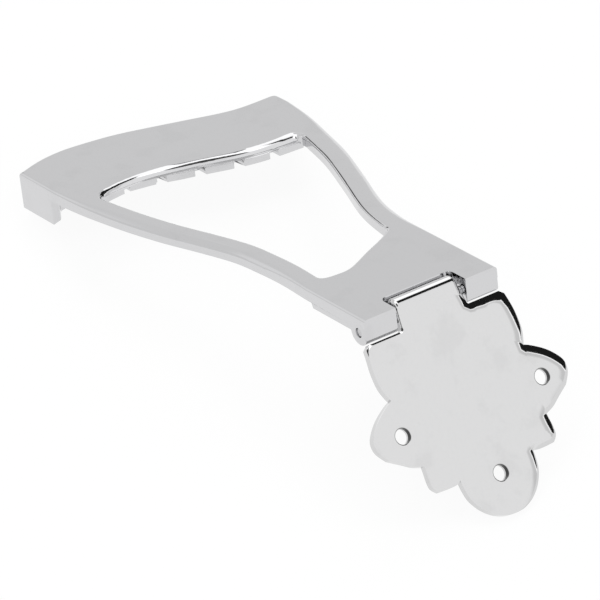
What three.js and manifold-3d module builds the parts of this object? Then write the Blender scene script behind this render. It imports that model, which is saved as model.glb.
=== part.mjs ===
// Trapeze tailpiece of an archtop guitar: a cast frame, a hinge plate and the pin that joins them.
// Millimetres. The casting is drawn with its top face at z = 0, x = 0 at its hinge end and the string
// bar at negative x; "reach" is the distance from the hinge end towards the string bar, and "across"
// is y. The finished group is turned so that the tailpiece stands on a table on its three feet.
import * as THREE from 'three';
import { mergeVertices } from 'three/addons/utils/BufferGeometryUtils.js';
import Module from 'manifold-3d';

const wasm = await Module();
wasm.setup();

// Casting: overall sizes
const frameLength = 153.2;
const headNear = 37.8;
const headFar = 44.2;
const headSkew = 15;
const headDepth = 28.6;
const baseWidth = 44.2;
const baseLength = 25.2;
const frameThickness = 3.5;
const baseThickness = 5.1;
const edgeRadius = 1.1;

// Casting: arms
const nearArmWidth = 6.6;
const farArmWidth = 7.4;
const armStart = 27.5;
const armSetBack = 22.2;
const innerBaseNear = 29.6;
const innerBaseSkew = 11.5;
const windowCorner = 1.6;
const nearHeadCorner = 4.2;
const headCorner = 2.4;

// Casting: string bar and notched lip
const barHeight = 11.25;
const barLength = 16.3;
const stringPitch = 10.76;
const stringCentre = 2.6;
const stringCount = 6;
const stringHole = 3.2;
const stringDrop = 7.6;
const lipTop = 2.2;
const lipBottom = 4.5;
const lipProud = 0.4;
const lipDepth = 4.2;
const notchWidth = 3;
const notchDepth = 3.4;

// Hinge
const foldDegrees = 58.5;
const pinDiameter = 2.6;
const pinInset = 0.35;
const pinClearance = 0.3;
const hingeBack = 3.1;
const hingeDrop = 4.7;
const knuckleRadius = 3.7;
const earGap = 23.2;
const recessCorner = 2.2;
const stopGap = 0.3;
const shoulderGap = 0.35;
const shoulderBlend = 1.4;

// Hinge plate
const plateReach = 60.7;
const plateWidth = 64.6;
const sheetThickness = 2.3;
const plateEdge = 1.1;
const tongueThickness = 5.4;
const tongueRise = 2.5;
const tongueTopWidth = 20.6;
const tongueFootWidth = 22.2;
const screwHole = 4.4;
const upperHoleDrop = 29.9;
const upperHoleSpacing = 46.6;
const lowerHoleDrop = 49.2;
const holeRim = 0.6;
const rimShare = 0.3;

// Cuts run past the faces they open by this much.
const overrun = 2;

// How far a point of the string bar may dip below the table when the stance is found
const standingSlack = 0.02;

// Facets of round stretches
const curveSteps = 6;
const edgeSteps = 3;
const roundFacets = 32;
const holeFacets = 16;
const outlineSteps = 44;
const innerBaseSteps = 22;
const lobeSteps = 2;

const fold = THREE.MathUtils.degToRad(foldDegrees);
const recessHalf = earGap / 2;
const baseHalf = baseWidth / 2;
const armEnd = frameLength - armSetBack;
// What is joined under the slab reaches up into it to this height.
const joinHeight = -(edgeRadius + frameThickness) / 2;
const recessDepth = hingeBack + tongueRise * Math.cos(fold) + tongueThickness / 2 + stopGap;

// Front edge of the string bar: along it as a share of the head's width, reach as a share of the skew.
const frontEdgeShares = [
  [0, 0.73], [0.1, 0.93], [0.19, 1], [0.27, 0.97], [0.4, 0.84],
  [0.52, 0.62], [0.65, 0.35], [0.77, 0.1], [0.86, 0], [1, 0],
];
// Inner edge of the head, drawn the same way.
const innerEdgeShares = [
  [0.076, 0.89], [0.12, 0.97], [0.184, 0.97], [0.235, 0.9], [0.293, 0.83],
  [0.351, 0.75], [0.422, 0.59], [0.485, 0.47], [0.559, 0.31], [0.632, 0.17],
  [0.705, 0.07], [0.784, 0.02], [0.873, -0.01],
];
// Outer edges of the arms: along the arm from base to head, and outwards from base side to head side.
const nearArmShares = [
  [0, 0], [0.12, -0.03], [0.22, 0], [0.32, 0.07], [0.44, 0.28],
  [0.565, 0.53], [0.7, 0.74], [0.84, 0.9], [0.93, 0.97], [1, 1],
];
const farArmShares = [
  [0, 0], [0.09, 0.01], [0.18, 0.045], [0.3, 0.16], [0.46, 0.425],
  [0.62, 0.68], [0.755, 0.83], [0.875, 0.94], [1, 1],
];
// Base edge of the window from the near corner to the far one, bowed towards the head.
const innerBaseShares = [[0, 0], [0.12, -0.07], [0.3, -0.04], [0.6, 0.38], [0.85, 0.72], [1, 1]];

// Lobes of the hinge plate, one half: out from the middle line, and down from the hinge to the tip.
const shoulderShares = [[0.722, 0.085], [0.728, 0.12], [0.742, 0.19], [0.738, 0.26], [0.71, 0.31], [0.692, 0.33]];
const earLobeShares = [
  [0.692, 0.33], [0.75, 0.344], [0.85, 0.377], [0.925, 0.412],
  [0.985, 0.453], [1, 0.487], [0.985, 0.522], [0.925, 0.567],
];
const petalShares = [[0.925, 0.567], [0.81, 0.606], [0.73, 0.634], [0.665, 0.648], [0.643, 0.652]];
const sideTipShares = [[0.643, 0.652], [0.646, 0.68], [0.652, 0.72], [0.645, 0.755], [0.6, 0.782]];
const sideTipFootShares = [[0.6, 0.782], [0.5, 0.7845], [0.42, 0.782], [0.382, 0.77]];
const footLobeShares = [
  [0.382, 0.77], [0.379, 0.81], [0.362, 0.86], [0.325, 0.9],
  [0.27, 0.938], [0.19, 0.972], [0.09, 0.995], [0, 1],
];

const at = (reach, across) => new THREE.Vector2(-reach, across);

// A smooth line through points, as sample points.
function smooth(points, steps) {
  return new THREE.SplineCurve(points).getPoints(steps);
}

// A point of the head: share of its width from the near side, and share of its skew in reach.
function headPoint([along, skew], setBack) {
  const across = THREE.MathUtils.lerp(-headNear, headFar, along);
  return at(frameLength - headSkew * (1 - skew) - setBack, across);
}

// Outer edge of one arm, from the base to the head.
function armEdge(shares, side, headSide, inset) {
  const points = shares.map(([along, out]) => {
    const reach = THREE.MathUtils.lerp(armStart, armEnd, along);
    return at(reach, side * (THREE.MathUtils.lerp(baseHalf, headSide, out) - inset));
  });
  return smooth(points, outlineSteps);
}

// A rounded corner that starts and ends at a distance from the sharp one.
function roundCorner(before, corner, after, radius) {
  const start = corner.clone().add(before.clone().sub(corner).setLength(radius));
  const end = corner.clone().add(after.clone().sub(corner).setLength(radius));
  return new THREE.QuadraticBezierCurve(start, corner, end).getPoints(curveSteps);
}

function frontEdge(setBack) {
  return smooth(frontEdgeShares.map((share) => headPoint(share, setBack)), outlineSteps);
}

// Front edge of the head, its far corner rounded towards the point that follows.
function frontToCorner(next) {
  const front = frontEdge(0);
  const farEnd = front.at(-1);
  const kept = front.filter((point) => point.distanceTo(farEnd) > headCorner);
  return [...kept, ...roundCorner(kept.at(-1), farEnd, next, headCorner)];
}

// Outline of the casting without its recess.
function frameOutline() {
  const far = armEdge(farArmShares, 1, headFar, 0);
  const near = armEdge(nearArmShares, -1, headNear, 0);
  return [
    at(0, -baseHalf), at(0, baseHalf), at(armStart / 2, baseHalf), ...far,
    ...frontToCorner(far.at(-1)).reverse(),
    ...near.reverse(), at(armStart / 2, -baseHalf),
  ];
}

// Inner edge of the head, shifted towards the window by proud.
function headInner(proud) {
  return smooth(innerEdgeShares.map((share) => headPoint(share, headDepth + proud)), outlineSteps);
}

// Outline of the window between the arms.
function windowOutline() {
  const head = headInner(0);
  const first = head[0];
  const last = head.at(-1);
  const near = armEdge(nearArmShares, -1, headNear, nearArmWidth)
    .filter((point) => point.x < -innerBaseNear - windowCorner && point.x > first.x + nearHeadCorner);
  const far = armEdge(farArmShares, 1, headFar, farArmWidth)
    .filter((point) => point.x < -innerBaseNear - innerBaseSkew - windowCorner && point.x > last.x + windowCorner);
  const nearFoot = at(innerBaseNear, near[0].y);
  const farFoot = at(innerBaseNear + innerBaseSkew, far[0].y);
  const base = smooth(innerBaseShares.map(([along, skew]) => at(
    innerBaseNear + innerBaseSkew * skew,
    THREE.MathUtils.lerp(nearFoot.y, farFoot.y, along),
  )), innerBaseSteps);
  const nearCorner = at(-first.x, near.at(-1).y);
  const farCorner = at(-last.x, far.at(-1).y);
  const inside = (point) => point.y > nearCorner.y + nearHeadCorner && point.y < farCorner.y - windowCorner;
  const baseInside = (point) => point.y > nearFoot.y + windowCorner && point.y < farFoot.y - windowCorner;
  const keptHead = head.filter(inside);
  const keptBase = base.filter(baseInside);
  return [
    ...roundCorner(near[0], nearFoot, keptBase[0], windowCorner),
    ...keptBase,
    ...roundCorner(keptBase.at(-1), farFoot, far[0], windowCorner),
    ...far,
    ...roundCorner(far.at(-1), farCorner, keptHead.at(-1), windowCorner),
    ...keptHead.toReversed(),
    ...roundCorner(keptHead[0], nearCorner, near.at(-1), nearHeadCorner),
    ...near.reverse(),
  ];
}

// Closed solid from a geometry, for joining and cutting.
function solid(geometry) {
  const bare = geometry.clone();
  bare.deleteAttribute('normal');
  bare.deleteAttribute('uv');
  const merged = mergeVertices(bare);
  return new wasm.Manifold(new wasm.Mesh({
    numProp: 3,
    vertProperties: merged.attributes.position.array,
    triVerts: new Uint32Array(merged.index.array),
  }));
}

function geometryOf(manifold) {
  const mesh = manifold.getMesh();
  const geometry = new THREE.BufferGeometry();
  geometry.setAttribute('position', new THREE.BufferAttribute(mesh.vertProperties.slice(), 3));
  geometry.setIndex(new THREE.BufferAttribute(mesh.triVerts.slice(), 1));
  const flat = geometry.toNonIndexed();
  flat.computeVertexNormals();
  return flat;
}

// A box given by its two corners.
function boxBetween(low, high) {
  const size = new THREE.Vector3().subVectors(high, low);
  const geometry = new THREE.BoxGeometry(size.x, size.y, size.z);
  const centre = new THREE.Vector3().addVectors(low, high).multiplyScalar(0.5);
  return solid(geometry.translate(centre.x, centre.y, centre.z));
}

// A flat outline given a wall straight up between two heights.
function prism(points, bottom, top) {
  const geometry = new THREE.ExtrudeGeometry(new THREE.Shape(points), {
    depth: top - bottom,
    bevelEnabled: false,
  });
  return solid(geometry.translate(0, 0, bottom));
}

// A slab with its top at a height, whose upper edges, those of its holes too, are rounded.
function roundedSlab(shape, top, thickness, radius) {
  const geometry = new THREE.ExtrudeGeometry(shape, {
    depth: thickness,
    bevelThickness: radius,
    bevelSize: radius,
    bevelOffset: -radius,
    bevelSegments: edgeSteps,
    curveSegments: roundFacets,
  });
  geometry.translate(0, 0, top - thickness - radius);
  geometry.computeBoundingBox();
  const low = geometry.boundingBox.min.clone().subScalar(overrun);
  const high = geometry.boundingBox.max.clone().addScalar(overrun);
  high.z = top - thickness;
  return solid(geometry).subtract(boxBetween(low, high));
}

// A round bar along y, centred on the middle plane.
function barAcross(radius, length, facets, x, z) {
  return solid(new THREE.CylinderGeometry(radius, radius, length, facets).translate(x, 0, z));
}

// Where the strings and the tongues between the notches lie across the head.
function stringPlaces() {
  return Array.from({ length: stringCount }, (_, i) => stringCentre + (i - (stringCount - 1) / 2) * stringPitch);
}

function makeFrame() {
  const shape = new THREE.Shape(frameOutline());
  shape.holes.push(new THREE.Path(windowOutline()));
  let frame = roundedSlab(shape, 0, frameThickness, edgeRadius);

  // String bar under the front edge
  const rear = frontEdge(barLength);
  frame = frame.add(prism([...frontToCorner(rear.at(-1)), ...rear.reverse()], -barHeight, joinHeight));

  // Notched lip under the inner edge of the head
  const lipFront = headInner(lipProud);
  const lipRear = headInner(-lipDepth);
  frame = frame.add(prism([...lipRear, ...lipFront.reverse()], -lipBottom, -lipTop));
  const line = headInner(0);
  for (const place of stringPlaces().slice(1)) {
    const middle = place - stringPitch / 2;
    const edge = line.reduce((a, b) => (Math.abs(b.y - middle) < Math.abs(a.y - middle) ? b : a));
    frame = frame.subtract(boxBetween(
      new THREE.Vector3(edge.x - notchDepth, middle - notchWidth / 2, -lipBottom - overrun),
      new THREE.Vector3(edge.x + lipProud + overrun, middle + notchWidth / 2, -lipTop),
    ));
  }

  // String holes through the bar
  for (const place of stringPlaces()) {
    const through = 2 * (barLength + headSkew);
    const hole = new THREE.CylinderGeometry(stringHole / 2, stringHole / 2, through, holeFacets);
    hole.rotateZ(Math.PI / 2);
    hole.translate(barLength - frameLength, place, -stringDrop);
    frame = frame.subtract(solid(hole));
  }

  // Thick base, and the knuckles that hang from it round the pin
  frame = frame.add(boxBetween(
    new THREE.Vector3(-baseLength, -baseHalf, -baseThickness),
    new THREE.Vector3(0, baseHalf, joinHeight),
  ));
  const knuckles = barAcross(knuckleRadius, baseWidth, roundFacets, -hingeBack, -hingeDrop);
  const ahead = boxBetween(
    new THREE.Vector3(0, -baseWidth, -hingeDrop - knuckleRadius - overrun),
    new THREE.Vector3(knuckleRadius + overrun, baseWidth, overrun),
  );
  frame = frame.add(knuckles.subtract(ahead));

  // Recess for the tongue, with rounded inner corners, and the pin's bore
  const recess = [
    at(-overrun, -recessHalf),
    at(-overrun, recessHalf),
    ...roundCorner(at(0, recessHalf), at(recessDepth, recessHalf), at(recessDepth, 0), recessCorner),
    ...roundCorner(at(recessDepth, 0), at(recessDepth, -recessHalf), at(0, -recessHalf), recessCorner),
  ];
  frame = frame.subtract(prism(recess, -hingeDrop - knuckleRadius - overrun, overrun));
  const bore = barAcross(pinDiameter / 2 + pinClearance, baseWidth + overrun, roundFacets, -hingeBack, -hingeDrop);
  return geometryOf(frame.subtract(bore));
}

// Outline of the hinge plate: x runs down from the hinge axis, y across.
function plateOutline() {
  const down = (out, drop) => new THREE.Vector2(drop * plateReach, out * plateWidth / 2);
  const lobe = (shares) => smooth(shares.map(([out, drop]) => down(out, drop)), shares.length * lobeSteps);
  const shoulder = knuckleRadius + shoulderGap;
  const shoulderStart = down(...shoulderShares[0]);
  const valley = new THREE.Vector2(shoulder, tongueFootWidth / 2 + shoulderGap);
  const half = [
    new THREE.Vector2(-tongueRise, tongueTopWidth / 2),
    new THREE.Vector2(knuckleRadius - shoulderGap, tongueFootWidth / 2),
    valley,
    new THREE.Vector2(shoulder, shoulderStart.y - shoulderBlend),
    ...lobe(shoulderShares),
    ...lobe(earLobeShares).slice(1),
    ...lobe(petalShares).slice(1),
    ...lobe(sideTipShares).slice(1),
    ...lobe(sideTipFootShares).slice(1),
    ...lobe(footLobeShares).slice(1),
  ];
  const mirrored = half.slice(0, -1).reverse().map((point) => new THREE.Vector2(point.x, -point.y));
  return [...half, ...mirrored];
}

// A screw hole through the plate with a rounded rim at its front, centred down and across.
function screwBore(drop, across, front) {
  const radius = screwHole / 2;
  const profile = [
    new THREE.Vector2(0, -overrun - sheetThickness),
    new THREE.Vector2(radius, -overrun - sheetThickness),
    new THREE.Vector2(radius, -holeRim),
    new THREE.Vector2(radius + holeRim * rimShare, -holeRim * rimShare),
    new THREE.Vector2(radius + holeRim, 0),
    new THREE.Vector2(radius + holeRim, overrun),
    new THREE.Vector2(0, overrun),
  ];
  const bore = new THREE.LatheGeometry(profile, holeFacets).rotateX(Math.PI / 2);
  return solid(bore.translate(drop, across, front));
}

function makePlate() {
  const front = tongueThickness / 2;
  let plate = roundedSlab(new THREE.Shape(plateOutline()), front, sheetThickness, plateEdge);
  const holes = [
    [upperHoleDrop, -upperHoleSpacing / 2],
    [upperHoleDrop, upperHoleSpacing / 2],
    [lowerHoleDrop, 0],
  ];
  for (const [drop, across] of holes) {
    plate = plate.subtract(screwBore(drop, across, front));
  }

  // Tongue: round top above the pin, round foot about the pin
  const tongue = new THREE.Shape();
  tongue.absarc(-tongueRise, 0, tongueThickness / 2, Math.PI / 2, Math.PI * 3 / 2, false);
  tongue.absarc(0, 0, tongueThickness / 2, -Math.PI / 2, Math.PI / 2, false);
  const barrel = new THREE.ExtrudeGeometry(new THREE.Shape(tongue.getPoints(roundFacets / 2)), {
    depth: tongueTopWidth,
    bevelEnabled: false,
  });
  barrel.rotateX(Math.PI / 2);
  barrel.translate(0, tongueTopWidth / 2, 0);
  plate = plate.add(solid(barrel));
  return geometryOf(plate.subtract(barAcross(pinDiameter / 2 + pinClearance, baseWidth, roundFacets, 0, 0)));
}

function makePin() {
  return new THREE.CylinderGeometry(pinDiameter / 2, pinDiameter / 2, baseWidth - 2 * pinInset, roundFacets);
}

// The upward direction of the plane through three points.
function upFrom(a, b, c) {
  return new THREE.Vector3().crossVectors(b.clone().sub(a), c.clone().sub(a)).normalize();
}

// Turns the casting so that its three feet lie level. It stands on the tip of the hinge plate, on the
// far corner of the string bar, and on the point of the bar's lower front edge that then comes lowest.
function standing() {
  const edge = frontEdge(0).filter((point) => point.y < headFar - headCorner)
    .map((point) => new THREE.Vector3(point.x, point.y, -barHeight));
  const far = edge.pop();
  const back = tongueThickness / 2 - sheetThickness;
  const tip = new THREE.Vector3(plateReach, 0, back).applyAxisAngle(new THREE.Vector3(0, 1, 0), fold);
  tip.add(new THREE.Vector3(-hingeBack, 0, -hingeDrop));
  const tries = edge.filter((point) => point.y < stringCentre).map((foot) => upFrom(foot, tip, far));
  const clears = (up) => edge.every((point) => point.dot(up) > far.dot(up) - standingSlack);
  const up = tries.find(clears) ?? tries[0];
  const ahead = new THREE.Vector3(1, 0, 0);
  ahead.addScaledVector(up, -ahead.dot(up)).normalize();
  const side = new THREE.Vector3().crossVectors(up, ahead);
  return new THREE.Matrix4().makeBasis(ahead, side, up).transpose();
}

const chrome = { metalness: 1, roughness: 0.08 };

function mesh(name, geometry, material) {
  const piece = new THREE.Mesh(geometry, new THREE.MeshStandardMaterial(material));
  piece.name = name;
  return piece;
}

const tilted = new THREE.Group();
tilted.add(mesh('tailpiece_frame', makeFrame(), { ...chrome, color: 0xc6c6c8 }));

const hinge = new THREE.Group();
hinge.position.set(-hingeBack, 0, -hingeDrop);
hinge.add(mesh('hinge_pin', makePin(), { metalness: 1, roughness: 0.2, color: 0xb9bbbe }));
const plate = mesh('hinge_plate', makePlate(), { ...chrome, color: 0xdcdcdd });
plate.rotation.y = fold;
hinge.add(plate);
tilted.add(hinge);
tilted.quaternion.setFromRotationMatrix(standing());

// The origin is on the table, under the middle of the box round the part.
const tailpiece = new THREE.Group();
tailpiece.add(tilted);
tailpiece.updateMatrixWorld(true);
const box = new THREE.Box3().setFromObject(tailpiece, true);
tilted.position.set(-(box.min.x + box.max.x) / 2, -(box.min.y + box.max.y) / 2, -box.min.z);

export default tailpiece;
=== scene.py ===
import math
from contextlib import contextmanager

import bpy
from mathutils import Matrix, Quaternion, Vector
from mathutils.geometry import delaunay_2d_cdt


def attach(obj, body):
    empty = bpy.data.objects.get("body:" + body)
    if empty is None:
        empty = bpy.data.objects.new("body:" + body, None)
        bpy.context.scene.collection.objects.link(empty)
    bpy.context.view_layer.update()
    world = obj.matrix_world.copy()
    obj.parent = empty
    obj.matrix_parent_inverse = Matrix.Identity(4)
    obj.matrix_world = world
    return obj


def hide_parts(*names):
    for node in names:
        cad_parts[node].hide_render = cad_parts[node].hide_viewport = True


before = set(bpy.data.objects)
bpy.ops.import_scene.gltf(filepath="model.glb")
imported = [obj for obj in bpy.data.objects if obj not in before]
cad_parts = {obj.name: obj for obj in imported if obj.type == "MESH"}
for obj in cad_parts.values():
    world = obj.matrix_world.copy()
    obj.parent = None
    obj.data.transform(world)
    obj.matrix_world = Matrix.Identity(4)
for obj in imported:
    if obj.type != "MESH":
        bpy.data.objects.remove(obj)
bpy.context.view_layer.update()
bpy.ops.object.select_all(action="DESELECT")

# Lengths are in millimetres until they reach Blender. The casting's own axes are x towards the hinge,
# with the hinge end's face at 0, y across, and z out of its top face.
MM = 0.001
STANCE_TURN = Quaternion(
    (0.9917917396998196, -0.03498200002206327, -0.1229089537244059, -0.004335185351715349))
STANCE_PLACE = Vector((52.8954, -2.757, 47.5001)) * MM
STANCE = Matrix.Translation(STANCE_PLACE) @ STANCE_TURN.to_matrix().to_4x4()

# Working values: how finely lines and rounds are drawn
FINE = 120
CORNER_STEPS = 8
CORNER_LEAD = 6
KNUCKLE_STEPS = 24
BARREL_STEPS = 28
DRILL_SIDES = 32
PIN_SIDES = 48
HOLE_SIDES = 48
BORE_SIDES = 64
SLAB_ROUNDS = 5
BASE_ROUNDS = 3
FINE_ROUNDS = 2
BARREL_ROUNDS = 6
PIN_ROUNDS = 3

# Working values: how far cuts run past the metal, and how close counts as touching, level or flat
OVERRUN = 2.0
CUT_PAST = 3.0
LONG_DRILL = 60.0
MERGE = 0.001
ON_EDGE = 0.05
ON_LEVEL = 0.01
TOUCHING = 1e-6
SAME_CORNER = 1e-4
SAME_FACE = math.radians(0.2)
SMOOTH_UP_TO = math.radians(34)
FLAT_COSINE = 0.99999
FULL_WEIGHT = 100
SMALL_EDGE = 0.25

# Casting: outline
FRAME_LENGTH = 153.2
FRAME_THICKNESS = 3.5
HEAD_NEAR = 37.8
HEAD_FAR = 44.2
HEAD_SKEW = 15.0
HEAD_DEPTH = 28.6
HEAD_CORNER = 2.4
BASE_WIDTH = 44.2
NEAR_ARM = 6.6
FAR_ARM = 7.4
ARM_START = 27.5
ARM_END = FRAME_LENGTH - 22.2
INNER_BASE = 29.6
INNER_BASE_SKEW = 11.5
WINDOW_CORNER = 1.6
BROW_CORNER = 1.0

# Casting: edges
EDGE_ROUND = 1.1
BROW_START = -29.5
BROW_END = 33.5
BROW_FADE = 1.5
ARM_SOFT = 3.0
ARM_SOFT_DEPTH = 1.7
ARM_FADE_BASE_SHARE = 0.25
ARM_FADE_HEAD_SHARE = 0.3

# Casting: base
BASE_LENGTH = 25.2
BASE_THICKNESS = 5.1
BASE_CHAMFER = 0.7
BASE_BLANK_TOP = 2.5

# Casting: string bar and lip
BAR_HEIGHT = 11.25
BAR_LENGTH = 16.3
BAR_MIDDLE_LENGTH = 12.6
BAR_FLARE = -31.5
BAR_FLARE_RUN = 3.0
BAR_BLANK_TOP = 1.0
BAR_EDGE = 0.2
STRINGS = 6
STRING_PITCH = 10.76
STRING_CENTRE = 2.6
STRING_HOLE = 3.2
STRING_DROP = 7.6
LIP_TOP = 2.2
LIP_BOTTOM = 4.5
LIP_PROUD = 0.4
LIP_DEPTH = 4.2
NOTCH_WIDTH = 3.0
NOTCH_DEPTH = 3.4
NOTCH_CUT = 9.0
NOTCH_BELOW = 1.0

# Hinge
FOLD = math.radians(58.5)
PIN = 2.6
PIN_INSET = 0.35
PIN_CLEARANCE = 0.3
PRESS_GAP = 0.1
HINGE_BACK = 3.1
HINGE_DROP = 4.7
KNUCKLE = 3.7
EAR_GAP = 23.2
TONGUE = 5.4
TONGUE_RISE = 2.5
TONGUE_TOP = 20.6
TONGUE_FOOT = 22.2
BARREL_EDGE = 1.3
STOP_GAP = 0.3
RECESS_DEPTH = HINGE_BACK + TONGUE_RISE * math.cos(FOLD) + TONGUE / 2 + STOP_GAP
RECESS_CORNER = 2.2
RECESS_CORNER_BELOW = 0.9

# Hinge plate
PLATE_REACH = 60.7
PLATE_HALF = 32.3
SHEET = 2.3
SHOULDER_GAP = 0.35
SHOULDER_START = 1.4
SCREW_HOLE = 4.4
SCREW_PLACES = ((29.9, -23.3), (29.9, 23.3), (49.2, 0.0))
STITCH = 0.6
WEAR_STEPS = 9
WEAR_KEPT_SHARE = 0.985
EDGE_SLOPE = 0.56
NEAR_SLOPE_SHARE = 0.45
EDGE_NEAR = 1.0
EDGE_FAR = 3.8
EDGE_CHANGE_START = -8.0
EDGE_CHANGE_RUN = 24.0
SHOULDER_FALL = 0.85
SHOULDER_REACH = 5.2
SHOULDER_STEEP_END = 3.0
SHOULDER_STEEP_FADE = 2.0
RIM_FALL = 0.3
RIM_REACH = 0.35
# Painted shade in the screw holes: how far down their walls it reaches, and how soft its lower edge is
HOLE_SHADE_DEPTH = 1.5
HOLE_SHADE_FADE = 0.1

# Lines across the head, from its near end to its far end: share of the width, share of the skew
FRONT_SHARES = ((0, 0.73), (0.1, 0.93), (0.19, 1), (0.27, 0.97), (0.4, 0.84),
                (0.52, 0.62), (0.65, 0.35), (0.77, 0.1), (0.86, 0), (1, 0))
LIP_SHARES = ((0.076, 0.89), (0.12, 0.97), (0.184, 0.97), (0.235, 0.9), (0.293, 0.83),
              (0.351, 0.75), (0.422, 0.59), (0.485, 0.47), (0.559, 0.31), (0.632, 0.17),
              (0.705, 0.07), (0.784, 0.02), (0.873, -0.01))
BROW_SHARES = ((0.089, 0.56), (0.105, 0.613), (0.1415, 0.68), (0.178, 0.713), (0.212, 0.735),
               (0.278, 0.738), (0.351, 0.685), (0.422, 0.585), (0.485, 0.47), (0.559, 0.31),
               (0.632, 0.17), (0.705, 0.07), (0.784, 0.02), (0.873, -0.01))
# The brow's width at places across the head
BROW_WIDTHS = ((-38, 1.7), (-20, 1.8), (-9, 1.9), (-3, 2.0), (3, 1.7), (8, 1.6),
               (14, 1.9), (20, 2.1), (26.5, 2.6), (31, 3.1), (45, 3.1))
# Arms, from the base to the head: share of their length, share of the way out to the head's side.
# Side -1 is the near arm, side 1 the far one.
NEAR_ARM_SHARES = ((0, 0), (0.12, -0.03), (0.22, 0), (0.32, 0.07), (0.44, 0.28),
                   (0.565, 0.53), (0.7, 0.74), (0.84, 0.9), (0.93, 0.97), (1, 1))
FAR_ARM_SHARES = ((0, 0), (0.09, 0.01), (0.18, 0.045), (0.3, 0.16), (0.46, 0.425),
                  (0.62, 0.68), (0.755, 0.83), (0.875, 0.94), (1, 1))
ARM_SIDES = {-1: (NEAR_ARM_SHARES, HEAD_NEAR), 1: (FAR_ARM_SHARES, HEAD_FAR)}
# The window's end at the base: share of the way across, share of the skew
WINDOW_FOOT_SHARES = ((0, 0), (0.12, -0.07), (0.3, -0.04), (0.6, 0.38), (0.85, 0.72), (1, 1))
# The plate's outline, from the shoulder down: share of the half width, share of the reach.
# PLATE_LINES gives each line its number of steps.
SHOULDER_SHARES = ((0.722, 0.085), (0.728, 0.12), (0.742, 0.19), (0.738, 0.26), (0.71, 0.31),
                   (0.692, 0.33))
EAR_LOBE_SHARES = ((0.692, 0.33), (0.75, 0.344), (0.85, 0.377), (0.925, 0.412),
                   (0.985, 0.453), (1, 0.487), (0.985, 0.522), (0.925, 0.567))
PETAL_SHARES = ((0.925, 0.567), (0.81, 0.606), (0.73, 0.634), (0.665, 0.648), (0.643, 0.652))
SIDE_TIP_SHARES = ((0.643, 0.652), (0.646, 0.68), (0.652, 0.72), (0.645, 0.755), (0.6, 0.782))
SIDE_TIP_FOOT_SHARES = ((0.6, 0.782), (0.5, 0.7845), (0.42, 0.782), (0.382, 0.77))
FOOT_LOBE_SHARES = ((0.382, 0.77), (0.379, 0.81), (0.362, 0.86), (0.325, 0.9),
                    (0.27, 0.938), (0.19, 0.972), (0.09, 0.995), (0, 1))
PLATE_LINES = ((SHOULDER_SHARES, 30), (EAR_LOBE_SHARES, 48), (PETAL_SHARES, 24), (SIDE_TIP_SHARES, 24),
               (SIDE_TIP_FOOT_SHARES, 16), (FOOT_LOBE_SHARES, 48))
SHOULDER_TIP = (KNUCKLE + SHOULDER_GAP, SHOULDER_SHARES[0][0] * PLATE_HALF)


def clamped(share):
    """A share kept between nothing and all."""
    return min(1, max(0, share))


def distance(a, b):
    """How far two points of a drawing lie apart."""
    return math.hypot(a[0] - b[0], a[1] - b[1])


def curve_through(points, steps):
    """A smooth line through points, as evenly numbered sample points."""
    out = []
    last = len(points) - 1
    for i in range(steps + 1):
        along = last * i / steps
        k = min(int(along), last)
        w = along - k
        a, b, c, d = (points[min(max(k + step, 0), last)] for step in (-1, 0, 1, 2))
        out.append(tuple(
            0.5 * (2 * b[j] + (c[j] - a[j]) * w + (2 * a[j] - 5 * b[j] + 4 * c[j] - d[j]) * w * w
                   + (3 * b[j] - 3 * c[j] + d[j] - a[j]) * w ** 3)
            for j in (0, 1)))
    return out


def arc(centre, radius, start, end, steps):
    """Points of an arc about a centre, from one angle to another."""
    return [(centre[0] + radius * math.cos(turn), centre[1] + radius * math.sin(turn))
            for turn in (start + (end - start) * i / steps for i in range(steps + 1))]


def round_corner(before, corner, after, radius):
    """Points of a rounded corner, from the side of before to the side of after."""
    a = [corner[j] + (before[j] - corner[j]) * radius / distance(before, corner) for j in (0, 1)]
    b = [corner[j] + (after[j] - corner[j]) * radius / distance(after, corner) for j in (0, 1)]
    return [tuple((1 - t) ** 2 * a[j] + 2 * t * (1 - t) * corner[j] + t * t * b[j] for j in (0, 1))
            for t in (i / CORNER_STEPS for i in range(CORNER_STEPS + 1))]


def head_line(shares, set_back):
    """A line across the head, set back from the front edge."""
    return curve_through([
        (-(FRAME_LENGTH - HEAD_SKEW * (1 - skew) - set_back),
         -HEAD_NEAR + (HEAD_NEAR + HEAD_FAR) * across)
        for across, skew in shares], FINE)


def arm_edge(side, inset=0.0):
    """An arm's edge from base to head: its outer one, or set in by the arm's width its inner one."""
    shares, head_side = ARM_SIDES[side]
    half = BASE_WIDTH / 2
    return curve_through([
        (-(ARM_START + (ARM_END - ARM_START) * along),
         side * (half + (head_side - half) * out - inset))
        for along, out in shares], FINE)


def at_across(line, across):
    """Where a line that runs across the head crosses a given y."""
    for a, b in zip(line, line[1:]):
        if a[1] <= across <= b[1]:
            return a[0] + (b[0] - a[0]) * (across - a[1]) / (b[1] - a[1])
    return line[0][0] if across < line[0][1] else line[-1][0]


def front_with_corner(front, after):
    """The head's front edge, with its far corner rounded towards the point after it."""
    kept = [p for p in front if distance(p, front[-1]) > HEAD_CORNER]
    return kept + round_corner(front[-CORNER_LEAD], front[-1], after, HEAD_CORNER)


def frame_outline():
    """The casting seen from above, drawn past its hinge end, where it is cut square."""
    half = BASE_WIDTH / 2
    far = arm_edge(1)
    front = front_with_corner(head_line(FRONT_SHARES, 0), far[-1])
    return [(OVERRUN, -half), (OVERRUN, half)] + far + front[::-1] + arm_edge(-1)[::-1]


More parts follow.
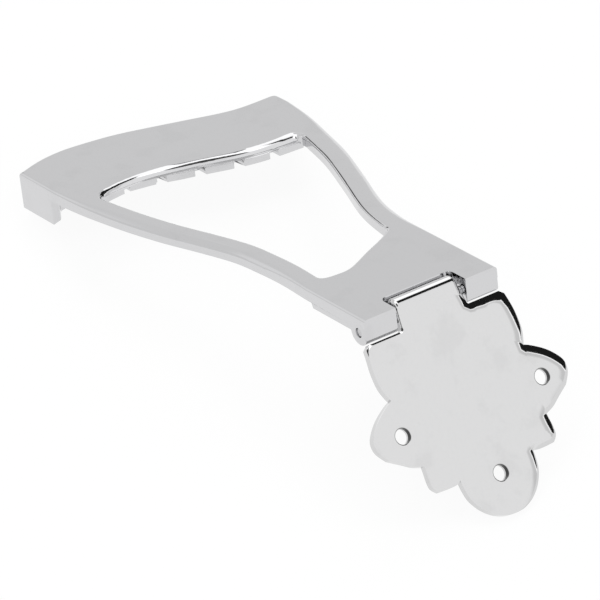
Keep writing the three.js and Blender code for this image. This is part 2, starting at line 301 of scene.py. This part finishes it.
def window_outline():
    """The opening between the arms, seen from above."""
    head = head_line(BROW_SHARES, HEAD_DEPTH)
    near = [p for p in arm_edge(-1, NEAR_ARM)
            if head[0][0] + BROW_CORNER < p[0] < -INNER_BASE - WINDOW_CORNER]
    far = [p for p in arm_edge(1, FAR_ARM)
           if head[-1][0] + WINDOW_CORNER < p[0] < -INNER_BASE - INNER_BASE_SKEW - WINDOW_CORNER]
    near_foot = (-INNER_BASE, near[0][1])
    far_foot = (-INNER_BASE - INNER_BASE_SKEW, far[0][1])
    foot = curve_through([
        (-(INNER_BASE + INNER_BASE_SKEW * skew), near_foot[1] + (far_foot[1] - near_foot[1]) * across)
        for across, skew in WINDOW_FOOT_SHARES], FINE // 2)
    foot = [p for p in foot if near_foot[1] + WINDOW_CORNER < p[1] < far_foot[1] - WINDOW_CORNER]
    near_corner = (head[0][0], near[-1][1])
    far_corner = (head[-1][0], far[-1][1])
    brow = [p for p in head if near_corner[1] + BROW_CORNER < p[1] < far_corner[1] - WINDOW_CORNER]
    return (
        round_corner(near[0], near_foot, foot[0], WINDOW_CORNER)
        + foot
        + round_corner(foot[-1], far_foot, far[0], WINDOW_CORNER)
        + far
        + round_corner(far[-1], far_corner, brow[-1], WINDOW_CORNER)
        + brow[::-1]
        + round_corner(brow[0], near_corner, near[-1], BROW_CORNER)
        + near[::-1]
    )


def recess_outline(corner):
    """The gap for the tongue between the ears, open towards the hinge."""
    mouth = OVERRUN + CUT_PAST
    side = EAR_GAP / 2
    back = (-RECESS_DEPTH, 0)
    return (
        [(mouth, -side)]
        + round_corner((mouth, -side), (-RECESS_DEPTH, -side), back, corner)
        + round_corner(back, (-RECESS_DEPTH, side), (mouth, side), corner)
        + [(mouth, side)]
    )


def bar_length_at(across):
    """How deep the string bar is: shallow behind the notches, deeper at its near end."""
    flare = clamped((BAR_FLARE - across) / BAR_FLARE_RUN)
    return BAR_MIDDLE_LENGTH + (BAR_LENGTH - BAR_MIDDLE_LENGTH) * flare


def only(obj):
    """Selects one object and nothing else."""
    bpy.ops.object.select_all(action="DESELECT")
    obj.select_set(True)
    bpy.context.view_layer.objects.active = obj


@contextmanager
def editing(obj):
    """Edit mode on one object, with all of it selected."""
    only(obj)
    bpy.ops.object.mode_set(mode="EDIT")
    bpy.ops.mesh.select_all(action="SELECT")
    yield
    bpy.ops.object.mode_set(mode="OBJECT")


def settle(obj, name):
    """Names an object and puts its place into its mesh."""
    only(obj)
    obj.name = name
    obj.data.name = name
    bpy.ops.object.transform_apply(location=True, rotation=True, scale=True)
    return obj


def put_in_scene(name, data):
    """A new object of a mesh, curve or camera, in the scene."""
    obj = bpy.data.objects.new(name, data)
    bpy.context.scene.collection.objects.link(obj)
    return obj


def cut_from_flat(name, outlines, low, high, edge=0.0, rounds=0):
    """A plate cut to outlines, from height low to high, with rounded upper and lower edges."""
    curve = bpy.data.curves.new(name, "CURVE")
    curve.dimensions = "2D"
    curve.fill_mode = "BOTH"
    for points in outlines:
        line = curve.splines.new("POLY")
        line.points.add(len(points) - 1)
        for spot, (x, y) in zip(line.points, points):
            spot.co = (x * MM, y * MM, 0, 1)
        line.use_cyclic_u = True
    curve.extrude = ((high - low) / 2 - edge) * MM
    curve.bevel_depth = edge * MM
    curve.bevel_resolution = rounds
    curve.offset = -edge * MM
    obj = put_in_scene(name, curve)
    obj.location = (0, 0, (low + high) / 2 * MM)
    only(obj)
    bpy.ops.object.convert(target="MESH")
    obj = settle(bpy.context.object, name)
    with editing(obj):
        bpy.ops.mesh.remove_doubles(threshold=MERGE * MM)
        bpy.ops.mesh.normals_make_consistent(inside=False)
    return obj


def side_profile(name, outline, half_width, edge, rounds):
    """A solid with an outline in the casting's x and z, running across it."""
    solid = cut_from_flat(name, [outline], -half_width, half_width, edge, rounds)
    solid.rotation_euler = (math.pi / 2, 0, 0)
    return settle(solid, name)


def bar_across(name, radius, length, x, z, vertices=BORE_SIDES):
    """A round bar that runs across the casting."""
    bpy.ops.mesh.primitive_cylinder_add(
        vertices=vertices, radius=radius * MM, depth=length * MM,
        location=(x * MM, 0, z * MM), rotation=(math.pi / 2, 0, 0))
    return settle(bpy.context.object, name)


def block(name, low, high):
    """A square-edged cutter between two corners."""
    bpy.ops.mesh.primitive_cube_add(
        size=1, location=[(a + b) / 2 * MM for a, b in zip(low, high)],
        scale=[(b - a) * MM for a, b in zip(low, high)])
    return settle(bpy.context.object, name)


def slice_off(obj, point, outwards):
    """Cuts away what lies past a plane and closes the cut."""
    with editing(obj):
        bpy.ops.mesh.bisect(plane_co=point, plane_no=outwards, use_fill=True, clear_outer=True)


def combine(obj, tool, how):
    """Joins a tool to an object or cuts it out of it, and uses the tool up."""
    only(obj)
    step = obj.modifiers.new(how.lower(), "BOOLEAN")
    step.operation = how
    step.solver = "EXACT"
    step.object = tool
    bpy.ops.object.modifier_apply(modifier=step.name)
    bpy.data.objects.remove(tool)


def finish_edges(obj, flats=((0, 0, 1), (0, 0, -1))):
    """Smooth shading that keeps the flat faces flat, right up to the rounds that leave them."""
    only(obj)
    bpy.ops.object.shade_smooth_by_angle(angle=SMOOTH_UP_TO)
    step = obj.modifiers.new("flats", "WEIGHTED_NORMAL")
    step.keep_sharp = True
    step.weight = FULL_WEIGHT
    bpy.ops.object.modifier_apply(modifier=step.name)
    mesh = obj.data
    turned = [Vector(corner.vector) for corner in mesh.corner_normals]
    for way in (Vector(flat) for flat in flats):
        level = {v for face in mesh.polygons if face.normal.dot(way) > FLAT_COSINE for v in face.vertices}
        for face in mesh.polygons:
            if face.normal.dot(way) > math.cos(SMOOTH_UP_TO):
                for loop, corner in zip(face.loop_indices, face.vertices):
                    if corner in level:
                        turned[loop] = way
    mesh.normals_split_custom_set(turned)


def join_all(parts, name):
    """Makes parts one object."""
    only(parts[0])
    for part in parts[1:]:
        part.select_set(True)
    bpy.ops.object.join()
    return settle(bpy.context.object, name)


# Casting: the slab with its window, edges rounded above and square below
slab = cut_from_flat("slab", [frame_outline(), window_outline()],
                     -FRAME_THICKNESS - EDGE_ROUND, 0, EDGE_ROUND, SLAB_ROUNDS)
slice_off(slab, (0, 0, -FRAME_THICKNESS * MM), (0, 0, -1))
slice_off(slab, (0, 0, 0), (1, 0, 0))
with editing(slab):
    bpy.ops.mesh.dissolve_limited(angle_limit=SAME_FACE)

# The brow over the lip is a wider, deeper round than the other edges, widest at its far end.
brow_line = head_line(BROW_SHARES, HEAD_DEPTH)
brow_widths = curve_through([(width, across) for across, width in BROW_WIDTHS], FINE)
for vertex in slab.data.vertices:
    x, y, z = (value / MM for value in vertex.co)
    inset = at_across(brow_line, y) - x
    on_round = -ON_EDGE < inset < EDGE_ROUND + ON_EDGE and -EDGE_ROUND - ON_LEVEL < z
    if on_round and BROW_START < y < BROW_END:
        fade = min(1, (y - BROW_START) / BROW_FADE) * min(1, (BROW_END - y) / BROW_FADE)
        vertex.co.x -= inset * (at_across(brow_widths, y) - EDGE_ROUND) / EDGE_ROUND * fade * MM
        vertex.co.z += z * (LIP_TOP - EDGE_ROUND) / EDGE_ROUND * fade * MM

# The arms are buffed soft along their outer edges, less so where they meet the head and the base.
for side in ARM_SIDES:
    edge = arm_edge(side)
    for vertex in slab.data.vertices:
        x, y, z = (value / MM for value in vertex.co)
        along = (-x - ARM_START) / (ARM_END - ARM_START)
        if -EDGE_ROUND - ON_LEVEL < z and 0 < along < 1 and y * side > 0:
            a, b = next((a, b) for a, b in zip(edge, edge[1:]) if b[0] <= x)
            slope = (b[1] - a[1]) / (b[0] - a[0])
            inset = side * (a[1] + (x - a[0]) * slope - y)
            if -ON_EDGE < inset < (EDGE_ROUND + ON_EDGE) * math.hypot(1, slope):
                fade = min(1, along / ARM_FADE_BASE_SHARE) * min(1, (1 - along) / ARM_FADE_HEAD_SHARE)
                fade = fade * fade * (3 - 2 * fade)
                vertex.co.y -= side * inset * (ARM_SOFT / EDGE_ROUND - 1) * fade * MM
                vertex.co.z += z * (ARM_SOFT_DEPTH / EDGE_ROUND - 1) * fade * MM

# Base: thick towards the hinge, with two ears rounded below the pin. Its blank reaches up into the slab
# and is sliced off under it.
knuckle_low = -KNUCKLE - HINGE_DROP
knuckle_start = math.pi + math.asin((BASE_THICKNESS - HINGE_DROP) / KNUCKLE)
knuckle_end = 2 * math.pi - math.acos(HINGE_BACK / KNUCKLE)
base_profile = (
    [(-BASE_LENGTH, -BASE_BLANK_TOP), (-BASE_LENGTH, -FRAME_THICKNESS),
     (-BASE_LENGTH + BASE_CHAMFER, -BASE_THICKNESS)]
    + arc((-HINGE_BACK, -HINGE_DROP), KNUCKLE, knuckle_start, knuckle_end, KNUCKLE_STEPS)
    + [(0, -BASE_BLANK_TOP)]
)
base = side_profile("base", base_profile, BASE_WIDTH / 2, SMALL_EDGE, BASE_ROUNDS)
slice_off(base, (0, 0, -FRAME_THICKNESS * MM), (0, 0, 1))
for part, corner in ((slab, RECESS_CORNER), (base, RECESS_CORNER_BELOW)):
    recess = cut_from_flat("recess", [recess_outline(corner)], knuckle_low - CUT_PAST, CUT_PAST)
    combine(part, recess, "DIFFERENCE")

# String bar, with its holes
string_places = [STRING_CENTRE + (i - (STRINGS - 1) / 2) * STRING_PITCH for i in range(STRINGS)]
bar_front = head_line(FRONT_SHARES, 0)
bar_back = [(x + bar_length_at(y), y) for x, y in bar_front]
bar_outline = front_with_corner(bar_front, bar_back[-1]) + bar_back[::-1]
bar = cut_from_flat("string_bar", [bar_outline], -BAR_HEIGHT, -FRAME_THICKNESS + BAR_BLANK_TOP,
                    BAR_EDGE, FINE_ROUNDS)
slice_off(bar, (0, 0, -FRAME_THICKNESS * MM), (0, 0, 1))
for place in string_places:
    bpy.ops.mesh.primitive_cylinder_add(
        vertices=DRILL_SIDES, radius=STRING_HOLE / 2 * MM, depth=LONG_DRILL * MM,
        location=((BAR_LENGTH - FRAME_LENGTH) * MM, place * MM, -STRING_DROP * MM),
        rotation=(0, math.pi / 2, 0))
    combine(bar, settle(bpy.context.object, "drill"), "DIFFERENCE")

# Lip, with a notch half way between each two strings
lip_line = head_line(LIP_SHARES, HEAD_DEPTH)
lip_front = head_line(LIP_SHARES, HEAD_DEPTH + LIP_PROUD)
notches = [
    (middle - NOTCH_WIDTH / 2, middle + NOTCH_WIDTH / 2, at_across(lip_line, middle) - NOTCH_DEPTH)
    for middle in (place - STRING_PITCH / 2 for place in string_places[1:])]
lip_outline = []
for a, b in zip(lip_front, lip_front[1:]):
    if not any(left + TOUCHING < a[1] < right - TOUCHING for left, right, _ in notches):
        lip_outline.append(a)
    for left, right, deep in notches:
        if a[1] < left <= b[1]:
            lip_outline += [(at_across(lip_front, left), left), (deep, left),
                            (deep, right), (at_across(lip_front, right), right)]
lip_outline.append(lip_front[-1])
lip_outline += head_line(LIP_SHARES, HEAD_DEPTH - LIP_DEPTH)[::-1]
lip = cut_from_flat("lip", [lip_outline], -LIP_BOTTOM, -LIP_TOP, SMALL_EDGE, FINE_ROUNDS)
for left, right, deep in notches:
    notch = block("notch", (deep, left, -LIP_BOTTOM - NOTCH_BELOW), (deep + NOTCH_CUT, right, -LIP_TOP))
    combine(slab, notch, "DIFFERENCE")

# Bore for the pin
for part in (slab, base):
    bore = bar_across("bore", PIN / 2 + PRESS_GAP, BASE_WIDTH + 2 * CUT_PAST, -HINGE_BACK, -HINGE_DROP)
    combine(part, bore, "DIFFERENCE")
for part in (slab, base, bar, lip):
    finish_edges(part)
casting = join_all([slab, base, bar, lip], "casting")


def plate_outline():
    """The hinge plate laid flat: x down from the pin, y across."""
    shoulder, tip = SHOULDER_TIP
    half = [(-TONGUE_RISE, TONGUE_TOP / 2), (KNUCKLE, TONGUE_FOOT / 2),
            (shoulder, TONGUE_FOOT / 2 + SHOULDER_GAP), (shoulder, tip - SHOULDER_START)]
    for shares, steps in PLATE_LINES:
        half += curve_through([(drop * PLATE_REACH, out * PLATE_HALF) for out, drop in shares], steps)[:-1]
    return half + [(PLATE_REACH, 0.0)] + [(x, -y) for x, y in reversed(half)]


def stitched(outline):
    """An outline with its points no more than a stitch apart."""
    return [(a[0] + (b[0] - a[0]) * i / parts, a[1] + (b[1] - a[1]) * i / parts)
            for a, b in zip(outline, outline[1:] + outline[:1])
            for parts in [math.ceil(distance(a, b) / STITCH)] for i in range(parts)]


def distance_to_edge(point, edge):
    """How far a point of the plate lies from the nearest stretch of its edge."""
    best = math.inf
    for (ax, ay), (bx, by) in edge:
        dx, dy = bx - ax, by - ay
        along = clamped(((point[0] - ax) * dx + (point[1] - ay) * dy) / (dx * dx + dy * dy))
        best = min(best, math.hypot(ax + dx * along - point[0], ay + dy * along - point[1]))
    return best


def wear_reach(across):
    """How far the buffed fall of the front face reaches in from the edge."""
    return EDGE_NEAR + (EDGE_FAR - EDGE_NEAR) * clamped((across - EDGE_CHANGE_START) / EDGE_CHANGE_RUN)


def wear_depth(spot, edge):
    """How deep the front face is buffed away: at its edge, at its far shoulder and round its holes."""
    reach = wear_reach(spot[1])
    near = min(1, distance_to_edge(spot, edge) / reach)
    worn = max((reach - EDGE_NEAR) / (EDGE_FAR - EDGE_NEAR),
               min(1, (SHOULDER_TIP[0] + SHOULDER_STEEP_END - spot[0]) / SHOULDER_STEEP_FADE))
    steep = EDGE_SLOPE * (NEAR_SLOPE_SHARE + (1 - NEAR_SLOPE_SHARE) * worn)
    depth = steep / 2 * reach * (1 - near) ** 2
    depth += SHOULDER_FALL * max(0, 1 - distance(spot, SHOULDER_TIP) / SHOULDER_REACH) ** 2
    for middle in SCREW_PLACES:
        out = clamped((distance(spot, middle) - SCREW_HOLE / 2) / RIM_REACH)
        depth += RIM_FALL * (1 - math.sqrt(1 - (1 - out) ** 2))
    return depth


def buffed_sheet(name, outline, top, back):
    """The plate's sheet, its front face buffed away towards its edge and its holes, flat behind."""
    outline = stitched(outline)
    closed = outline + outline[:1]
    edge = [(a, b) for a, b in zip(closed, closed[1:]) if not (a[0] == b[0] == -TONGUE_RISE)]
    levels = [1 - math.cos(math.pi / 2 * k / WEAR_STEPS) for k in range(1, WEAR_STEPS + 1)]
    spots = list(outline)
    rings = [list(range(len(outline)))]
    for level in levels:
        for before, here, after in zip([outline[-1]] + closed, closed, closed[1:] + outline[:1]):
            run = (after[0] - before[0], after[1] - before[1])
            reach = level * wear_reach(here[1])
            deep = reach / math.hypot(*run)
            spot = (here[0] + run[1] * deep, here[1] - run[0] * deep)
            if distance_to_edge(spot, edge) > reach * WEAR_KEPT_SHARE:
                spots.append(spot)
    for middle in SCREW_PLACES:
        rings.append(list(range(len(spots), len(spots) + HOLE_SIDES)))
        for level in [0] + levels:
            radius = SCREW_HOLE / 2 + RIM_REACH * level
            spots += arc(middle, radius, 0, 2 * math.pi, HOLE_SIDES)[:-1]
    rims = [(a, b) for ring in rings for a, b in zip(ring, ring[1:] + ring[:1])]
    flat, _, faces, *_ = delaunay_2d_cdt([Vector(spot) for spot in spots], rims, [], 1, SAME_CORNER)
    front = [(x * MM, y * MM, (top - wear_depth((x, y), edge)) * MM) for x, y in flat]
    hole = SCREW_HOLE / 2 * math.cos(math.pi / HOLE_SIDES)
    kept = []
    for face in faces:
        centre = (sum(flat[i][0] for i in face) / len(face), sum(flat[i][1] for i in face) / len(face))
        if all(distance(centre, middle) > hole for middle in SCREW_PLACES):
            kept.append(face)
    sheet = bpy.data.meshes.new(name)
    sheet.from_pydata(front, [], kept)
    obj = put_in_scene(name, sheet)
    with editing(obj):
        bpy.ops.mesh.delete_loose()
        bpy.ops.mesh.select_all(action="SELECT")
        bpy.ops.mesh.region_to_loop()
        bpy.ops.mesh.extrude_region_move(TRANSFORM_OT_translate={"value": (0, 0, -MM)})
        bpy.ops.transform.resize(value=(1, 1, 0), center_override=(0, 0, back * MM))
        bpy.ops.mesh.fill()
        bpy.ops.mesh.select_all(action="SELECT")
        bpy.ops.mesh.normals_make_consistent(inside=False)
    return obj


# Hinge plate: the sheet and the rounded barrel of its tongue, laid flat and then hung from the pin
plate = buffed_sheet("hinge_plate_smooth", plate_outline(), TONGUE / 2, TONGUE / 2 - SHEET)
barrel_outline = (arc((-TONGUE_RISE, 0), TONGUE / 2, math.pi / 2, 3 * math.pi / 2, BARREL_STEPS)
                  + arc((0, 0), TONGUE / 2, -math.pi / 2, math.pi / 2, BARREL_STEPS))
barrel = side_profile("barrel", barrel_outline, TONGUE_TOP / 2, BARREL_EDGE, BARREL_ROUNDS)
combine(plate, barrel, "UNION")
combine(plate, bar_across("bore", PIN / 2 + PIN_CLEARANCE, LONG_DRILL, 0, 0), "DIFFERENCE")
finish_edges(plate)
hung = Matrix.Translation(Vector((-HINGE_BACK, 0, -HINGE_DROP)) * MM) @ Matrix.Rotation(FOLD, 4, "Y")
plate.matrix_world = hung
settle(plate, "hinge_plate_smooth")

# Pin, with the rims of its ends rounded
pin = bar_across("cross_pin", PIN / 2, BASE_WIDTH - 2 * PIN_INSET, -HINGE_BACK, -HINGE_DROP, PIN_SIDES)
only(pin)
step = pin.modifiers.new("ends", "BEVEL")
step.width = SMALL_EDGE * MM
step.segments = PIN_ROUNDS
step.limit_method = "ANGLE"
bpy.ops.object.modifier_apply(modifier=step.name)
finish_edges(pin, ())


class Value:
    """A socket that takes part in sums, so that shader maths reads as arithmetic."""

    def __init__(self, nodes, socket):
        self.nodes = nodes
        self.socket = socket

    def maths(self, operation, first, second):
        """The result of one sum on sockets or numbers."""
        return self.nodes.add("ShaderNodeMath", {"operation": operation}, {0: first, 1: second})

    def __add__(self, other):
        return self.maths("ADD", self, other)

    def __radd__(self, other):
        return self.maths("ADD", other, self)

    def __sub__(self, other):
        return self.maths("SUBTRACT", self, other)

    def __rsub__(self, other):
        return self.maths("SUBTRACT", other, self)

    def __mul__(self, other):
        return self.maths("MULTIPLY", self, other)

    def __rmul__(self, other):
        return self.maths("MULTIPLY", other, self)

    def ramp(self, low, high, start=0.0, end=1.0):
        """Start below low, end above high, and a smooth rise between."""
        sockets = {"Value": self, "From Min": low, "From Max": high, "To Min": start, "To Max": end}
        return self.nodes.add("ShaderNodeMapRange", {"interpolation_type": "SMOOTHSTEP"}, sockets)

    def within(self, low, high, soft):
        """One between low and high, nothing outside, with soft ends."""
        return self.ramp(low - soft, low + soft) * self.ramp(high - soft, high + soft, 1, 0)


class Nodes:
    """A node tree that is written one node a call."""

    def __init__(self, owner):
        owner.use_nodes = True
        self.tree = owner.node_tree

    def add(self, kind, settings=None, sockets=None, out=0):
        """One node: its type, its settings, its sockets' values or links, and the output that it gives."""
        node = self.tree.nodes.new(kind)
        for key, value in (settings or {}).items():
            setattr(node, key, value)
        for key, value in (sockets or {}).items():
            if isinstance(value, Value):
                self.tree.links.new(value.socket, node.inputs[key])
            else:
                node.inputs[key].default_value = value
        return Value(self, node.outputs[out])

    def vector(self, operation, first, second=None, out=0):
        """One sum on directions or places."""
        sockets = {0: first} if second is None else {0: first, 1: second}
        return self.add("ShaderNodeVectorMath", {"operation": operation}, sockets, out)

    def noise(self, place, scale, detail, roughness=0.5):
        """Soft random variation from nothing to one."""
        sockets = {"Vector": place, "Scale": scale, "Detail": detail, "Roughness": roughness}
        return self.add("ShaderNodeTexNoise", {}, sockets, "Fac")

    def colour(self, red, green, blue):
        """A colour from its three parts."""
        return self.add("ShaderNodeCombineColor", {}, {"Red": red, "Green": green, "Blue": blue})

    def other_outputs(self, value, outs):
        """More outputs of the node that a value comes from."""
        return [Value(self, value.socket.node.outputs[out]) for out in outs]

    def link(self, value, node, socket):
        """Feeds a value to a socket of a node that is known by name."""
        self.tree.links.new(value.socket, self.tree.nodes[node].inputs[socket])


# Plating: noises by the metre, what they darken and dull, and how they lift the surface
WAVE_SCALE = 38.0
SMUDGE_SCALE = 95.0
PIT_SCALE = 420.0
PIT_SIZE = (0.03, 0.07)
SMUDGE_SPREAD = (0.52, 0.68)
SMUDGE_SHADE = 0.05
LINE_SHADE = 0.03
PIT_SHADE = 0.1
SMUDGE_DULLS = 0.05
LINE_DULLS = 0.025
PIT_DEPTH = 0.6
WAVE_LIFT = 0.001
LINE_LIFT = 0.00002
# How dark the painted shade on the upper part of the screw holes' walls is
HOLE_SHADE_TONE = 0.05


def plated(name, tone, roughness, wave, brush, smudge, brush_scale, shaded_holes=(), front=None):
    """Bright plating over metal: slow waves from the polishing, fine buffing lines, faint smudges.

    Painted shade: the upper part of each given hole's wall is coloured dark, standing in for the dark that
    shows inside the hole.
    """
    made = bpy.data.materials.new(name)
    nodes = Nodes(made)
    place = nodes.add("ShaderNodeTexCoord", out="Object")
    slow = nodes.noise(place, WAVE_SCALE, detail=1.0)
    patch = nodes.noise(place, SMUDGE_SCALE, detail=4.0, roughness=0.6).ramp(*SMUDGE_SPREAD)
    drawn_out = nodes.add("ShaderNodeMapping", {}, {"Vector": place, "Scale": brush_scale})
    lines = nodes.noise(drawn_out, scale=1.0, detail=3.0)
    pits = nodes.add("ShaderNodeTexVoronoi", {}, {"Vector": place, "Scale": PIT_SCALE}, "Distance")
    pit = pits.ramp(*PIT_SIZE, 1.0, 0.0)
    shade = 1 - SMUDGE_SHADE * patch * smudge - LINE_SHADE * lines - PIT_SHADE * pit * smudge
    # Painted shade: the upper part of each screw hole's wall is darkened, standing in for the dark the
    # hole's wall shows
    for middle in shaded_holes:
        away = nodes.vector("SUBTRACT", place, middle)
        up = nodes.vector("DOT_PRODUCT", away, front, "Value")
        out = nodes.vector("LENGTH", nodes.vector("CROSS_PRODUCT", away, front), out="Value")
        wall = out.ramp(SCREW_HOLE / 2 * MM, (SCREW_HOLE / 2 + RIM_REACH) * MM, 1, 0)
        painted_hole_shade = up.ramp((TONGUE / 2 - HOLE_SHADE_DEPTH) * MM, (TONGUE / 2 - HOLE_SHADE_DEPTH + HOLE_SHADE_FADE) * MM)
        shade = shade * (1 - (1 - HOLE_SHADE_TONE) * wall * painted_hole_shade)
    dulled = roughness + SMUDGE_DULLS * patch * smudge + LINE_DULLS * lines
    swell = nodes.add("ShaderNodeBump", {},
                      {"Height": slow, "Strength": wave, "Distance": WAVE_LIFT}, "Normal")
    fine = nodes.add("ShaderNodeBump", {},
                     {"Height": lines - PIT_DEPTH * pit, "Strength": brush, "Distance": LINE_LIFT,
                      "Normal": swell}, "Normal")
    nodes.link(nodes.colour(*(shade * part for part in tone)), "Principled BSDF", "Base Color")
    nodes.link(dulled, "Principled BSDF", "Roughness")
    nodes.link(fine, "Principled BSDF", "Normal")
    made.node_tree.nodes["Principled BSDF"].inputs["Metallic"].default_value = 1
    return made


laid = STANCE @ hung
cast_chrome = plated("cast_chrome", tone=(0.655, 0.655, 0.665), roughness=0.06, wave=0.05, brush=0.1,
                     smudge=0.6, brush_scale=(160, 2600, 900))
# The plate's material also paints shade on the upper part of its screw holes' walls
plate_chrome = plated("plate_chrome", tone=(0.665, 0.665, 0.668), roughness=0.05, wave=0.02, brush=0.07,
                      smudge=0.8, brush_scale=(900, 1300, 900),
                      shaded_holes=[laid @ (Vector((*middle, 0)) * MM) for middle in SCREW_PLACES],
                      front=laid.to_3x3() @ Vector((0, 0, 1)))
pin_steel = plated("pin_steel", tone=(0.62, 0.62, 0.63), roughness=0.24, wave=0.02, brush=0.2,
                   smudge=1.0, brush_scale=(900, 900, 900))

for piece, finish, body, slot, node in (
    (casting, cast_chrome, "frame", "cast_chrome", "tailpiece_frame"),
    (plate, plate_chrome, "end_plate", "plate_chrome", "hinge_plate"),
    (pin, pin_steel, "frame", "pin_steel", "hinge_pin"),
):
    piece.matrix_world = STANCE @ piece.matrix_world
    settle(piece, piece.name)
    piece.data.materials.clear()
    piece.data.materials.append(finish)
    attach(piece, body)
    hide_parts(node)

# Camera, at the photograph's viewing angle and distance
CAMERA_PLACE = Vector((861.48443374, -615.65807417, 919.83022309)) * MM
CAMERA_RIGHT = Vector((0.58993073, 0.80717568, -0.01974788))
CAMERA_UP = Vector((-0.51816381, 0.39730776, 0.75738201))
CAMERA_BACK = Vector((0.61918832, -0.43656668, 0.65261129))
LENS_LENGTH = 300
SENSOR_WIDTH = 36
FAR_CLIP = 20
lens = bpy.data.cameras.new("camera")
lens.lens = LENS_LENGTH
lens.sensor_width = SENSOR_WIDTH
lens.clip_end = FAR_CLIP
camera = put_in_scene("camera", lens)
turn = Matrix((CAMERA_RIGHT, CAMERA_UP, CAMERA_BACK)).transposed().to_4x4()
camera.matrix_world = Matrix.Translation(CAMERA_PLACE) @ turn
bpy.context.scene.camera = camera

# Floor: white to the camera and in the metal, with a part of its real shading left for the shadow
PAPER_SIZE = 6
PAPER_TONE = (0.86, 0.86, 0.86, 1)
PAPER_GLOW = 1.03
PAPER_GLOW_SHARE = 0.88
bpy.ops.mesh.primitive_plane_add(size=PAPER_SIZE, location=(0, 0, 0))
floor = bpy.context.object
floor.name = "floor"
paper = bpy.data.materials.new("white_paper")
nodes = Nodes(paper)
path = nodes.add("ShaderNodeLightPath")
seen = sum(nodes.other_outputs(path, ("Is Camera Ray", "Is Glossy Ray", "Is Transmission Ray")))
diffuse = nodes.add("ShaderNodeBsdfDiffuse", {}, {"Color": PAPER_TONE})
glow = nodes.add("ShaderNodeEmission", {}, {"Color": (1, 1, 1, 1), "Strength": PAPER_GLOW})
mixed = nodes.add("ShaderNodeMixShader", {}, {0: seen.ramp(0, 1, 0, PAPER_GLOW_SHARE), 1: diffuse, 2: glow})
nodes.link(mixed, "Material Output", "Surface")
floor.data.materials.append(paper)

# Studio, by direction: azimuth from +Y towards +X and height over the horizon, both in degrees. A card's
# sides, foot and top are where it is half there, and a ramp gives where it starts and ends, and its levels.
ROOM_RISE = (-45, 40, 0.84, 1.09)
ROOM_FALL = (90, 150, 0, 0.1)
OVERHEAD_RISE = (58, 64)
OVERHEAD_LEVEL = 0.75
LEFT_BOX_RISE = (160, 168)
LEFT_BOX_HEIGHTS = (-4, 16)
LEFT_BOX_SOFT = 3
LEFT_BOX_LEVEL = 0.5
HOOD_AZIMUTH = math.radians(112)
HOOD_HEIGHT = math.radians(68)
HOOD_EDGE = (math.cos(math.radians(20)), math.cos(math.radians(17)))
HOOD_LEVEL = 0.95
FLAG_SIDES = (-26, 46)
FLAG_SOFT = 1.5
FLAG_TOP = 62.5
FLAG_CENTRE = -2
FLAG_BOW = 0.012
SLIT_RISE = (19, 21, 0.015, 1.5)
SLIT_FALL = (22.5, 25, 0, 0.68)
FADE_RISE = (34, 47, 0, 0.27)
DEGREE = math.degrees(1)
studio = bpy.data.worlds.new("studio")
bpy.context.scene.world = studio
nodes = Nodes(studio)
towards = nodes.add("ShaderNodeTexCoord", out="Generated")
x, y, z = nodes.other_outputs(nodes.add("ShaderNodeSeparateXYZ", {}, {0: towards}), "XYZ")
azimuth = nodes.add("ShaderNodeMath", {"operation": "ARCTAN2"}, {0: x, 1: y}) * DEGREE
height = nodes.add("ShaderNodeMath", {"operation": "ARCSINE"}, {0: z}) * DEGREE


def card(sides, ends, soft, level):
    """A card in the studio: its two sides, its foot and top, how soft both pairs are, and its level."""
    return azimuth.within(*sides, soft[0]) * height.within(*ends, soft[1]) * level


# The room is pale all round, a little darker behind the head. Soft boxes stand overhead, low on the left
# and on the far side, and a weak one draws the arms' crowns.
room = azimuth.ramp(*ROOM_RISE) - azimuth.ramp(*ROOM_FALL)
overhead = height.ramp(*OVERHEAD_RISE) * OVERHEAD_LEVEL
behind = nodes.add("ShaderNodeMath", {"operation": "ABSOLUTE"}, {0: azimuth})
left_box = behind.ramp(*LEFT_BOX_RISE) * height.within(*LEFT_BOX_HEIGHTS, LEFT_BOX_SOFT) * LEFT_BOX_LEVEL
far_box = card(sides=(-66, -30), ends=(23, 62), soft=(3, 3), level=0.7)
crown_box = card(sides=(-124, -92), ends=(10, 32), soft=(8, 6), level=0.14)

# Dark things: a round hood on the camera's side, and a low shelf on the left
facing_hood = (x * (math.sin(HOOD_AZIMUTH) * math.cos(HOOD_HEIGHT))
               + y * (math.cos(HOOD_AZIMUTH) * math.cos(HOOD_HEIGHT)) + z * math.sin(HOOD_HEIGHT))
hood = facing_hood.ramp(*HOOD_EDGE) * HOOD_LEVEL
shelf = card(sides=(-112, -82), ends=(-6, 12), soft=(3, 2), level=0.85)

# A black flag with a bowed top on the far side, and a bright slit and a grey fade at its right-hand end
flag_top = FLAG_TOP - FLAG_BOW * (azimuth - FLAG_CENTRE) * (azimuth - FLAG_CENTRE)
flag = azimuth.within(*FLAG_SIDES, FLAG_SOFT) * (height - flag_top).ramp(-FLAG_SOFT, FLAG_SOFT, 1, 0)
flag_level = azimuth.ramp(*SLIT_RISE) - azimuth.ramp(*SLIT_FALL) + azimuth.ramp(*FADE_RISE)

lit = (room + overhead + left_box + far_box + crown_box) * (1 - hood) * (1 - shelf)
level = lit * (1 - flag) + flag * flag_level
nodes.link(nodes.colour(level, level, level), "Background", "Color")
studio.node_tree.nodes["Background"].inputs["Strength"].default_value = 1

bpy.context.scene.view_settings.view_transform = "Standard"
